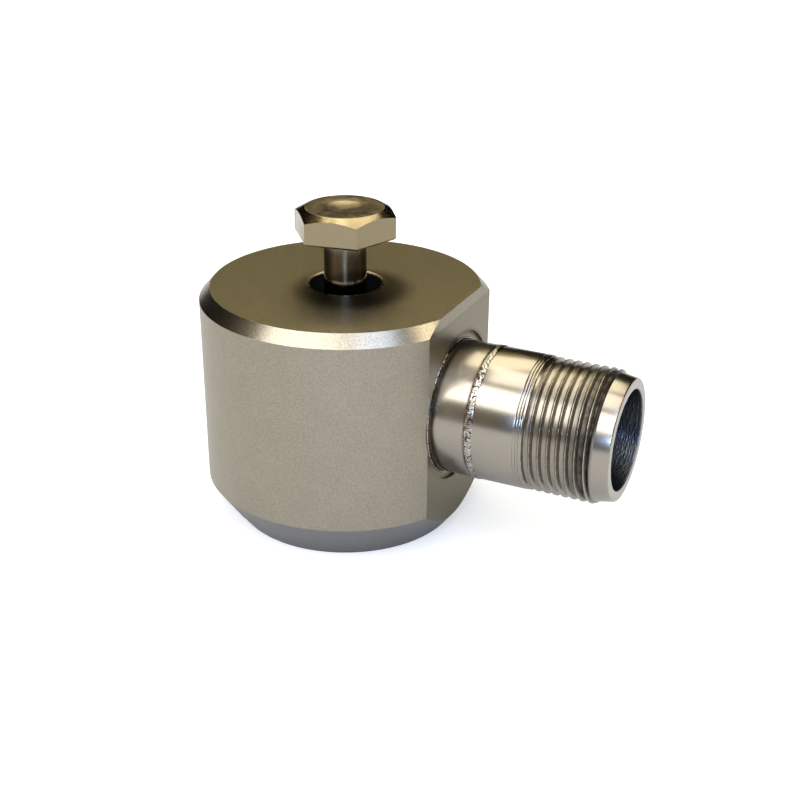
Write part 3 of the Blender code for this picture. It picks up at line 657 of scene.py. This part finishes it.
def finish_roll(tree, given, grid, radius, angle, height):
    """Move every point of the grid to its radius, angle and height about Z, and close the seam."""
    cosine = add(tree, "ShaderNodeMath", angle, operation="COSINE")
    sine = add(tree, "ShaderNodeMath", angle, operation="SINE")
    x = add(tree, "ShaderNodeMath", radius, cosine, operation="MULTIPLY")
    y = add(tree, "ShaderNodeMath", radius, sine, operation="MULTIPLY")
    rolled = add(tree, "ShaderNodeCombineXYZ", x, y, height)
    tube = add(tree, "GeometryNodeSetPosition", grid, named={"Position": rolled})
    joined = add(tree, "GeometryNodeMergeByDistance", tube, named={"Distance": 1e-6})
    real = add(tree, "GeometryNodeRealizeInstances", joined)
    dressed = add(tree, "GeometryNodeSetMaterial", real, named={"Material": given["Material"]})
    add(tree, "NodeGroupOutput", dressed)
    print(tree.name, "nodes:", len(tree.nodes))


# %% [markdown]
# ## The thread tree
#
# The distance to the nearest groove, counted in pitches, sets how deep each point of the tube
# sinks. The groove deepens along a run-in and is gone again at its end, so the tube's rims stay
# round and can be welded to the rest of the piece.

# %% Thread tree
def make_thread_tree():
    """A tree that rolls a grid into a threaded tube about Z."""
    tree, given, grid, place = start_roll(
        "cut_thread", ["Crest Radius", "Groove Depth", "Pitch", "Root Flat", "Start", "Length",
                       "Run In", "Run Out", "Rim Radius", "Rim Length", "Phase"],
        ["Steps Around", "Steps Along"])
    half = add(tree, "ShaderNodeMath", given["Length"], 0.5, operation="MULTIPLY")
    shift = add(tree, "ShaderNodeMath", given["Start"], half, operation="ADD")
    along = add(tree, "ShaderNodeMath", place["X"], shift, operation="ADD")
    turns = add(tree, "ShaderNodeMath", place["Y"], 2 * pi, operation="DIVIDE")
    # Counted in pitches, the distance to the middle of the nearest groove is at most a half. In
    # metres again, and past the flat root, it says how far the flank has risen.
    rise = along
    for operation, *others in (
            ("DIVIDE", given["Pitch"]), ("SUBTRACT", turns), ("ADD", given["Phase"]),
            ("WRAP", 1.0, 0.0), ("SUBTRACT", 0.5), ("ABSOLUTE",), ("MULTIPLY", given["Pitch"]),
            ("SUBTRACT", given["Root Flat"]), ("MAXIMUM", 0.0),
            ("MULTIPLY", 1 / tan(radians(30)))):
        rise = add(tree, "ShaderNodeMath", rise, *others, operation=operation)
    run_in_end = add(tree, "ShaderNodeMath", given["Start"], given["Run In"], operation="ADD")
    end = add(tree, "ShaderNodeMath", given["Start"], given["Length"], operation="ADD")
    run_out_start = add(tree, "ShaderNodeMath", end, given["Run Out"], operation="SUBTRACT")
    run_in = add(tree, "ShaderNodeMapRange", along, given["Start"], run_in_end, 0.0, 1.0)
    run_out = add(tree, "ShaderNodeMapRange", along, run_out_start, end, 1.0, 0.0)
    share = add(tree, "ShaderNodeMath", run_in, run_out, operation="MULTIPLY")
    deep = add(tree, "ShaderNodeMath", share, given["Groove Depth"], operation="MULTIPLY")
    groove = add(tree, "ShaderNodeMath", deep, rise, operation="SUBTRACT")
    groove = add(tree, "ShaderNodeMath", groove, 0.0, operation="MAXIMUM")
    threaded = add(tree, "ShaderNodeMath", given["Crest Radius"], groove, operation="SUBTRACT")
    rim_start = add(tree, "ShaderNodeMath", end, given["Rim Length"], operation="SUBTRACT")
    rim = add(tree, "ShaderNodeMapRange", along, rim_start, end, given["Crest Radius"],
              given["Rim Radius"])
    radius = add(tree, "ShaderNodeMath", threaded, rim, operation="MINIMUM")
    finish_roll(tree, given, grid, radius, place["Y"], along)
    return tree


def grow(name, tree, values):
    """Run a tree with these inputs and return what it makes as a bmesh."""
    carrier = bpy.data.objects.new(name, bpy.data.meshes.new(name))
    scene.collection.objects.link(carrier)
    modifier = carrier.modifiers.new("Grow", "NODES")
    modifier.node_group = tree
    for item in tree.interface.items_tree:
        if item.in_out == "INPUT" and item.name in values:
            modifier[item.identifier] = values[item.name]
    graph = bpy.context.evaluated_depsgraph_get()
    mesh = bpy.data.meshes.new_from_object(carrier.evaluated_get(graph), depsgraph=graph)
    carrier.modifiers.clear()
    bpy.data.objects.remove(carrier)
    print(name, "faces:", len(mesh.polygons))
    bm = bmesh.new()
    bm.from_mesh(mesh)
    return bm


thread_tree = make_thread_tree()

# %% [markdown]
# ## The connector's barrel
#
# The barrel has a plain stretch, a 5/8-24 thread, a smooth collar, and a keyed socket for the
# plug. The thread tree makes the threaded tube, and the lathe makes the rest as an open skin
# whose rims meet it, so that the two weld into one closed piece.

# %% Connector barrel
SHELL_START = 20.05 * MM
SHELL_END = 35.9025 * MM
THREAD_START = 25.75 * MM
THREAD_END = 34.05 * MM
COLLAR_R = 7.50 * MM
COLLAR_END_R = 7.19 * MM
SOCKET_FLOOR = 24.2025 * MM
SEAL_BORE_R = 5.20 * MM
BORE_MARK_PITCH = 0.24 * MM
BORE_MARK_DEPTH = 0.020 * MM
BORE_MARKS = 81

bm = grow("connector_thread", thread_tree, {
    "Crest Radius": CREST_R, "Groove Depth": GROOVE_DEPTH, "Pitch": 25.4 * MM / 24,
    "Root Flat": 0.23 * MM, "Start": THREAD_START, "Length": THREAD_END - THREAD_START,
    "Run In": 0.6 * MM, "Phase": 0.33, "Run Out": 0.45 * MM, "Rim Radius": COLLAR_R,
    "Rim Length": 0.30 * MM, "Steps Around": TURNS, "Steps Along": 300, "Material": thread_steel})
barrel_profile = [
    (COLLAR_R, THREAD_END),
    *arc(COLLAR_END_R - 0.18 * MM, SHELL_END - 0.18 * MM, 0.18 * MM, 10, 90),
    *arc(SOCKET_R + 0.12 * MM, SHELL_END - 0.12 * MM, 0.12 * MM, 90, 180, 3),
    *[(SOCKET_R + BORE_MARK_DEPTH * (i % 2), SHELL_END - 0.3 * MM - i * BORE_MARK_PITCH / 2)
      for i in range(BORE_MARKS)],
    (SOCKET_R, SOCKET_FLOOR),
    (SEAL_BORE_R, SOCKET_FLOOR),
    (SEAL_BORE_R, SHELL_START),
    (NECK_R - 0.03 * MM, SHELL_START),
    (NECK_R, SHELL_START + 0.03 * MM),
]
for mark_x, mark_depth in ((24.95, 0.04), (25.30, 0.05), (25.60, 0.05)):
    drop = NECK_R - 0.025 * MM
    barrel_profile += [(drop, (mark_x - 0.07) * MM), (drop - mark_depth * MM, mark_x * MM),
                       (drop, (mark_x + 0.07) * MM)]
barrel_profile.append((CREST_R, THREAD_START))
turn(barrel_profile, closed=False, bm=bm)
barrel = finish_mesh("connector_barrel", lay_on_connector(bm), thread_steel, sharp=40)

# %% [markdown]
# ## The key in the socket
#
# A rib on the wall of the socket lets the plug in only one way round. It is a bevelled
# box that sinks a little into the wall, and a union makes it one piece with the barrel.

# %% Key rib in the socket
KEY_WIDTH = 1.25 * MM
KEY_HEIGHT = 0.40 * MM
KEY_LENGTH = 9.0 * MM
KEY_INSET = 0.12 * MM
KEY_TURN = radians(16.5)
KEY_OVERLAP = 0.30 * MM

bm = bmesh.new()
bmesh.ops.create_cube(bm, size=1)
bmesh.ops.scale(bm, vec=(KEY_LENGTH, KEY_WIDTH, KEY_HEIGHT + KEY_OVERLAP), verts=bm.verts)
bmesh.ops.bevel(bm, geom=bm.edges[:], offset=0.10 * MM, segments=3, profile=0.5, affect="EDGES")
bmesh.ops.translate(bm, verts=bm.verts, vec=(
    SHELL_END - KEY_INSET - KEY_LENGTH / 2, 0,
    SOCKET_R - KEY_HEIGHT + (KEY_HEIGHT + KEY_OVERLAP) / 2))
aside = Matrix.Translation((0, 0, CONNECTOR_Z)) @ Matrix.Rotation(KEY_TURN, 4, "X")
bmesh.ops.transform(bm, matrix=aside, verts=bm.verts)
cut(barrel, finish_mesh("key_rib", bm, thread_steel), "UNION")
barrel.data.shade_smooth()
barrel.data.set_sharp_from_angle(angle=radians(40))
print("barrel faces:", len(barrel.data.polygons))
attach(barrel, "body")
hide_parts("connector_shell")

# %% [markdown]
# ## The neck
#
# The neck is a plain tube, welded at its root and joined to the barrel by a second weld. A small
# groove runs round it just before that bead.

# %% Neck
NECK_END = 19.75 * MM
BEAD_START = 19.12 * MM
BEAD_END = 19.92 * MM
neck = finish_mesh("connector_tube", lay_on_connector(turn([
    (6.44 * MM, 12.60 * MM),
    (NECK_R, 12.60 * MM),
    (NECK_R, BEAD_START - 0.20 * MM),
    (NECK_R + 0.06 * MM, BEAD_START - 0.14 * MM),
    (NECK_R + 0.06 * MM, BEAD_START - 0.08 * MM),
    (NECK_R - 0.05 * MM, BEAD_START - 0.01 * MM),
    (NECK_R - 0.05 * MM, BEAD_START + 0.02 * MM),
    (NECK_R - 0.03 * MM, NECK_END),
    (6.44 * MM, NECK_END),
])), turned_steel)
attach(neck, "body")
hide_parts("connector_neck")


# %% [markdown]
# ## The weld bead tree
#
# The bead at the neck's end was laid in overlapping pulses, so it sparkles. The grid is 1 across
# here, and a sine bows it into the bead's round back. A second sine makes one small wave for each
# pulse. The waves trail at the middle of the bead, because the metal there stays soft for
# longest. A noise makes the whole uneven.

# %% Weld bead tree
def make_bead_tree():
    """A tree that rolls a grid into a rippled half-round ring about Z."""
    tree, given, grid, place = start_roll(
        "weld_bead", ["Radius", "Start", "Width", "Rise", "Ripple", "Unevenness", "Grain"],
        ["Steps Around", "Steps Along", "Pulses"])
    across = add(tree, "ShaderNodeMath", place["X"], 0.5, operation="ADD")
    crown = across
    for operation, *others in (("MULTIPLY", pi), ("SINE",), ("MAXIMUM", 0.0), ("POWER", 0.6)):
        crown = add(tree, "ShaderNodeMath", crown, *others, operation=operation)
    wave = crown
    for operation, *others in (("MULTIPLY", -0.12), ("ADD", place["Y"]),
                               ("MULTIPLY", given["Pulses"]), ("SINE",),
                               ("MULTIPLY", given["Ripple"])):
        wave = add(tree, "ShaderNodeMath", wave, *others, operation=operation)
    cosine = add(tree, "ShaderNodeMath", place["Y"], operation="COSINE")
    sine = add(tree, "ShaderNodeMath", place["Y"], operation="SINE")
    spot_x = add(tree, "ShaderNodeMath", cosine, given["Radius"], operation="MULTIPLY")
    spot_y = add(tree, "ShaderNodeMath", sine, given["Radius"], operation="MULTIPLY")
    spot_z = add(tree, "ShaderNodeMath", across, given["Width"], operation="MULTIPLY")
    spot = add(tree, "ShaderNodeCombineXYZ", spot_x, spot_y, spot_z)
    fineness = add(tree, "ShaderNodeMath", 1.0, given["Grain"], operation="DIVIDE")
    radius = add(tree, "ShaderNodeTexNoise", named={"Vector": spot, "Scale": fineness,
                                                    "Detail": 2.0})
    for operation, other in (("SUBTRACT", 0.5), ("MULTIPLY", given["Unevenness"]), ("ADD", wave),
                             ("ADD", given["Rise"]), ("MULTIPLY", crown),
                             ("ADD", given["Radius"])):
        radius = add(tree, "ShaderNodeMath", radius, other, operation=operation)
    z = add(tree, "ShaderNodeMath", spot_z, given["Start"], operation="ADD")
    finish_roll(tree, given, grid, radius, place["Y"], z)
    return tree


bead_tree = make_bead_tree()

# %% [markdown]
# ## The weld bead
#
# The tree gives the bead's rippled back, and the lathe closes it from below with an open skin.

# %% Weld bead
BEAD_STEPS = 960
BEAD_INNER_R = 7.50 * MM

bm = grow("neck_bead", bead_tree, {
    "Radius": NECK_R, "Start": BEAD_START, "Width": BEAD_END - BEAD_START,
    "Rise": 0.07 * MM, "Ripple": 0.012 * MM, "Unevenness": 0.10 * MM, "Grain": 0.13 * MM,
    "Steps Around": BEAD_STEPS, "Steps Along": 21, "Pulses": 190, "Material": weld_steel})
seam_end = SHELL_START + 0.03 * MM
turn([(NECK_R, BEAD_END), (NECK_R - 0.04 * MM, BEAD_END + 0.03 * MM),
      (NECK_R - 0.01 * MM, BEAD_END + 0.09 * MM), (NECK_R - 0.01 * MM, seam_end),
      (BEAD_INNER_R, seam_end), (BEAD_INNER_R, BEAD_START), (NECK_R, BEAD_START)],
     closed=False, steps=BEAD_STEPS, bm=bm)
bead = finish_mesh("neck_weld_bead", lay_on_connector(bm), weld_steel, sharp=80)
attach(bead, "body")

# %% [markdown]
# ## The captive bolt
#
# The bolt has a hexagon head, a thin shank and a thicker threaded end, which keeps it from
# falling out. The head is a hexagonal bar whose corners were turned off at 30 degrees, so it is
# the overlap of a hexagon and a turned form, and its top is slightly dished.

# %% Bolt head
HEAD_UNDERSIDE = 35.20 * MM
HEAD_TOP = 38.67 * MM
HEAD_FLATS = 10.88 * MM
HEAD_TURN = radians(10.1)
HEAD_TOP_R = 4.75 * MM
SHANK_R = 2.55 * MM
DISH_R = 2.40 * MM
DISH_DEPTH = 0.35 * MM

corner_r = HEAD_FLATS / sqrt(3)
bm = bmesh.new()
rings = []
for r, z in ((corner_r - 0.22 * MM, HEAD_UNDERSIDE), (corner_r, HEAD_UNDERSIDE + 0.22 * MM),
             (corner_r, HEAD_TOP + MM)):
    angles = [HEAD_TURN + i * pi / 3 for i in range(6)]
    rings.append([bm.verts.new((r * cos(a), r * sin(a), z)) for a in angles])
for low, high in zip(rings, rings[1:]):
    for i in range(6):
        bm.faces.new((low[i - 1], low[i], high[i], high[i - 1]))
bm.faces.new(rings[0])
bm.faces.new(rings[-1])
upright = [e for e in bm.edges if abs(e.verts[0].co.z - e.verts[1].co.z) > MM]
bmesh.ops.bevel(bm, geom=upright, offset=0.10 * MM, segments=3, profile=0.5, affect="EDGES")
head = finish_mesh("hex_head", bm, bolt_steel)
ball_r = (DISH_R ** 2 + DISH_DEPTH ** 2) / (2 * DISH_DEPTH)
reach = corner_r + MM
trim = [(0, HEAD_UNDERSIDE - MM), (reach, HEAD_UNDERSIDE - MM),
        (reach, HEAD_TOP - (reach - HEAD_TOP_R) * tan(radians(29)))]
trim += arc(HEAD_TOP_R - 0.12 * MM, HEAD_TOP - 0.24 * MM, 0.24 * MM, 62, 90, 4)
for i in range(16, -1, -1):
    r = DISH_R * i / 16
    trim.append((r, HEAD_TOP - DISH_DEPTH + ball_r - sqrt(ball_r ** 2 - r ** 2)))
cut(head, finish_mesh("head_trim", turn(trim, closed=False), bolt_steel), "INTERSECT")
print("head faces:", len(head.data.polygons))

# %% [markdown]
# ## The bolt's shank and thread
#
# The thread tree makes the 1/4-28 thread, the lathe the shank and the tip, and a union joins them
# with the head. The head's top then gets its own finish, and the shank gets the darker steel that
# carries painted shade.

# %% Bolt shank and thread
BOLT_THREAD_R = 3.175 * MM
BOLT_THREAD_START = 0.50 * MM
BOLT_THREAD_END = 11.0 * MM
bm = grow("bolt_thread", thread_tree, {
    "Crest Radius": BOLT_THREAD_R, "Groove Depth": 0.50 * MM, "Pitch": 25.4 * MM / 28,
    "Root Flat": 0.06 * MM, "Start": BOLT_THREAD_START,
    "Length": BOLT_THREAD_END - BOLT_THREAD_START, "Run In": 0.6 * MM, "Run Out": 0.6 * MM,
    "Rim Radius": BOLT_THREAD_R, "Rim Length": 0.1 * MM, "Steps Around": 96, "Steps Along": 200,
    "Material": bolt_steel})
turn([(BOLT_THREAD_R, BOLT_THREAD_END), (SHANK_R, BOLT_THREAD_END + BOLT_THREAD_R - SHANK_R),
      (SHANK_R, HEAD_UNDERSIDE + MM), (0, HEAD_UNDERSIDE + MM)], closed=False, steps=96, bm=bm)
turn([(0, 0), (BOLT_THREAD_R - 0.50 * MM, 0), (BOLT_THREAD_R, BOLT_THREAD_START)],
     closed=False, steps=96, bm=bm)
bolt = finish_mesh("captive_hex_bolt", bm, bolt_steel)
cut(bolt, head, "UNION")
bolt.data.shade_smooth()
bolt.data.set_sharp_from_angle(angle=radians(20))
bolt.data.materials.append(shaded_shank_steel)
bolt.data.materials.append(struck_steel)
on_shank = [face for face in bolt.data.polygons
            if face.center.xy.length < SHANK_R + 0.02 * MM
            and BOLT_THREAD_END < face.center.z < HEAD_UNDERSIDE]
for face in on_shank:
    face.material_index = len(bolt.data.materials) - 2
on_head = [face for face in bolt.data.polygons
           if face.center.z > HEAD_TOP - 0.5 * MM and face.center.xy.length < HEAD_TOP_R
           and face.normal.z > 0.95]
for face in on_head:
    face.material_index = len(bolt.data.materials) - 1
print("shank faces:", len(on_shank), "head top faces:", len(on_head),
      "materials:", [m.name for m in bolt.data.materials])
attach(bolt, "bolt")
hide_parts("captive_bolt")
print("bolt faces:", len(bolt.data.polygons))

# %% [markdown]
# ## Finishes for the CAD pieces that stay
#
# The contacts and the insert show a little in the socket, and the rest is sealed inside. Their
# CAD shape is right, so each one only changes its material.

# %% Dress the CAD pieces
FINISHES = {
    "connector_insert": "moulded_black_insulator", "glass_seal": "fused_seal_glass",
    "contact_pin_a": "gold_plating", "contact_pin_b": "gold_plating",
    "isolation_ring": "alumina_ceramic", "insulating_sleeve": "polyimide_film",
    "lower_electrode": "rolled_copper", "centre_electrode": "rolled_copper",
    "piezo_ring_lower": "poled_piezo_ceramic", "piezo_ring_upper": "poled_piezo_ceramic",
    "seismic_mass": "sintered_heavy_metal", "spring_washer": "spring_steel",
    "preload_nut": "spring_steel", "inner_shield": "tinned_brass_sheet",
    "circuit_board": "glass_fibre_laminate", "board_spacer": "moulded_black_insulator",
    "amplifier_chip": "moulded_black_insulator", "coupling_capacitor": "alumina_ceramic",
    "bias_capacitor": "alumina_ceramic", "signal_lead": "red_wire_insulation",
    "ground_lead": "moulded_black_insulator", "sensor_lead": "rolled_copper",
}
for node, finish in FINISHES.items():
    nodes[node].data.materials.clear()
    nodes[node].data.materials.append(inner[finish])
print("dressed CAD pieces:", len(FINISHES))

# %% [markdown]
# ## Light that is only seen
#
# The floor and the world get some light that eyes and mirrors see, but that doesn't light the
# object. A Light Path node tells what kind of ray asks: one from the camera, one that was
# mirrored or passed through glass, or one of the scattered light that lights surfaces.

# %% Rays that see
def seeing_rays(tree):
    """Outputs of a Light Path node, and a node that is 1 for rays that see and 0 for the rest."""
    path = add(tree, "ShaderNodeLightPath").outputs
    seen = add(tree, "ShaderNodeMath", path["Is Camera Ray"], path["Is Glossy Ray"],
               operation="MAXIMUM")
    return path, add(tree, "ShaderNodeMath", seen, path["Is Transmission Ray"],
                     operation="MAXIMUM")


# %% [markdown]
# ## Floor
#
# Polished metal shows the room that it is in, so the room matters as much as the metal. The
# floor is light grey paper with a little light of its own. In the metal that glow is faint. Seen
# directly it is stronger, and it grows with the distance from the object, so the paper goes over
# into white and has no horizon, while the object's shadow stays on it.

# %% Floor
FLOOR_HALF = 3.0
GLOW_SEEN = 0.50
GLOW_MIRRORED = 0.05
GLOW_FROM = 0.15
GLOW_FULL = 0.80

floor_paper, tree, shader, place = new_material("white_paper_floor", "#cecece", 0.9, 0.0)
path, seen = seeing_rays(tree)
away = add(tree, "ShaderNodeVectorMath", place, operation="LENGTH")
faded = add(tree, "ShaderNodeMapRange", away, GLOW_FROM, GLOW_FULL, GLOW_SEEN, 1.0)
level = add(tree, "ShaderNodeMapRange", path["Is Camera Ray"], 0.0, 1.0, GLOW_MIRRORED, faded)
glow = add(tree, "ShaderNodeMath", seen, level, operation="MULTIPLY")
light = add(tree, "ShaderNodeEmission", (1, 1, 1, 1), glow)
fill(tree, shader, {"Specular IOR Level": 0.0})
fill(tree, tree.nodes["Material Output"], {
    "Surface": add(tree, "ShaderNodeAddShader", shader, light)})
bm = bmesh.new()
bmesh.ops.create_grid(bm, x_segments=1, y_segments=1, size=FLOOR_HALF)
bmesh.ops.translate(bm, vec=(0, 0, -0.02 * MM), verts=bm.verts)
floor = finish_mesh("paper_floor", bm, floor_paper)
floor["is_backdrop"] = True

# %% [markdown]
# ## Walls that only reflections see
#
# The walls are out of the picture and only show in the metal: an olive wall with a dark foot
# behind the object, black cloth and a black corner at its sides, a pale wall in front at the left,
# and a dim brown room all round. Each one is a piece of a sphere that covers a range of
# directions, so it is easy to say which part of a curved reflection it fills.

# %% Walls that only reflections see
WALL_DISTANCE = 1.2


def sky(azimuth, elevation, distance):
    """The point at a distance in a direction. Azimuth 0 is towards -Y, and 90 towards +X."""
    a, e = radians(azimuth), radians(elevation)
    return Vector((sin(a) * cos(e), -cos(a) * cos(e), sin(e))) * distance


def hang(name, colour, strength, azimuths, elevations, distance):
    """A curved screen that covers a range of directions and shows only in reflections."""
    material = bpy.data.materials.new(name)
    material.use_nodes = True
    tree = material.node_tree
    tree.nodes.clear()
    light = add(tree, "ShaderNodeEmission", linear(colour), strength)
    add(tree, "ShaderNodeOutputMaterial", light)
    bm = bmesh.new()
    columns, rows = 24, 8
    grid = [[bm.verts.new(sky(azimuths[0] + (azimuths[1] - azimuths[0]) * i / columns,
                              elevations[0] + (elevations[1] - elevations[0]) * j / rows,
                              distance)) for i in range(columns + 1)] for j in range(rows + 1)]
    for j in range(rows):
        for i in range(columns):
            bm.faces.new((grid[j][i], grid[j][i + 1], grid[j + 1][i + 1], grid[j + 1][i]))
    screen = finish_mesh(name, bm, material)
    screen.visible_camera = False
    screen.visible_diffuse = False
    screen.visible_shadow = False
    screen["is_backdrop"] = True
    return screen


hang("brown_room", "#6e6048", 1.0, (0, 360), (0, 89), WALL_DISTANCE)
hang("olive_wall", "#bca25a", 1.0, (186, 226), (30, 43), 0.95 * WALL_DISTANCE)
hang("dark_wall_foot", "#0a0906", 1.0, (186, 226), (-2, 30), 0.95 * WALL_DISTANCE)
hang("black_cloth", "#060605", 1.0, (226, 284), (-2, 46), 0.95 * WALL_DISTANCE)
hang("front_wall", "#8f8472", 1.0, (290, 360), (-1, 30), 0.95 * WALL_DISTANCE)
hang("black_corner", "#060605", 1.0, (122, 186), (-2, 40), 0.95 * WALL_DISTANCE)

# %% [markdown]
# ## Lights
#
# Six softboxes, all plain. The white one above and in front draws the bright band on the chamfer
# and the connector. Warm ones stand above, behind and at the side, and two bluish ones, one high
# at the right and a small one low in front, give the cool streaks on the bolt and the neck.

# %% Softboxes
def softbox(name, colour, radiance, azimuth, elevation, width, height, distance=0.9):
    """An area light that covers width by height degrees, seen from the object."""
    light = bpy.data.lights.new(name, "AREA")
    light.shape = "RECTANGLE"
    light.size = 2 * distance * tan(radians(width / 2))
    light.size_y = 2 * distance * tan(radians(height / 2))
    light.color = linear(colour)[:3]
    light.energy = radiance * pi * light.size * light.size_y
    lamp = bpy.data.objects.new(name, light)
    lamp.location = sky(azimuth, elevation, distance)
    lamp.rotation_euler = (-lamp.location).to_track_quat("-Z", "Y").to_euler()
    lamp.visible_camera = False
    scene.collection.objects.link(lamp)


softbox("front_softbox", "#ffffff", 4.3, 353, 50, 61, 34)
softbox("top_softbox", "#fffaf0", 3.4, 0, 90, 30, 30)
softbox("blue_softbox", "#c9dcff", 4.5, 61, 52, 22, 34)
softbox("rear_softbox", "#fff8de", 3.0, 203, 58, 40, 31)
softbox("side_softbox", "#fff6e0", 5.0, 111, 45, 17, 13)
softbox("low_softbox", "#a4c6ff", 34.0, 27, 19, 13, 9)

# %% [markdown]
# ## World
#
# The world is white for the camera and in reflections that look past the walls, and lights the
# object with about a third of that.

# %% World
AMBIENT = 0.35

world = bpy.data.worlds.new("pale_studio")
world.use_nodes = True
scene.world = world
tree = world.node_tree
path, seen = seeing_rays(tree)
level = add(tree, "ShaderNodeMapRange", seen, 0.0, 1.0, AMBIENT, 1.0)
fill(tree, tree.nodes["Background"], {"Color": (1, 1, 1, 1), "Strength": level})

# %% [markdown]
# ## Camera
#
# The camera stands at the photograph's place, about 17 cm away, looking down at 25 degrees.
# Its place and turn were fitted to the outlines of the body and the connector.

# %% Camera and view
camera_data = bpy.data.cameras.new("photo_camera")
camera_data.lens = 58.42
camera_data.sensor_width = 36
camera_data.clip_start = 1 * MM
camera = bpy.data.objects.new("photo_camera", camera_data)
camera.location = Vector((69.068, -129.391, 83.015)) * MM
camera.rotation_euler = (radians(64.6947), radians(-0.4085), radians(25.6956))
scene.collection.objects.link(camera)
scene.camera = camera
scene.view_settings.view_transform = "Standard"

# %% Print the visual size and finish
low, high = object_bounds()
print("visual size in mm:", [round(v / MM, 2) for v in high - low])
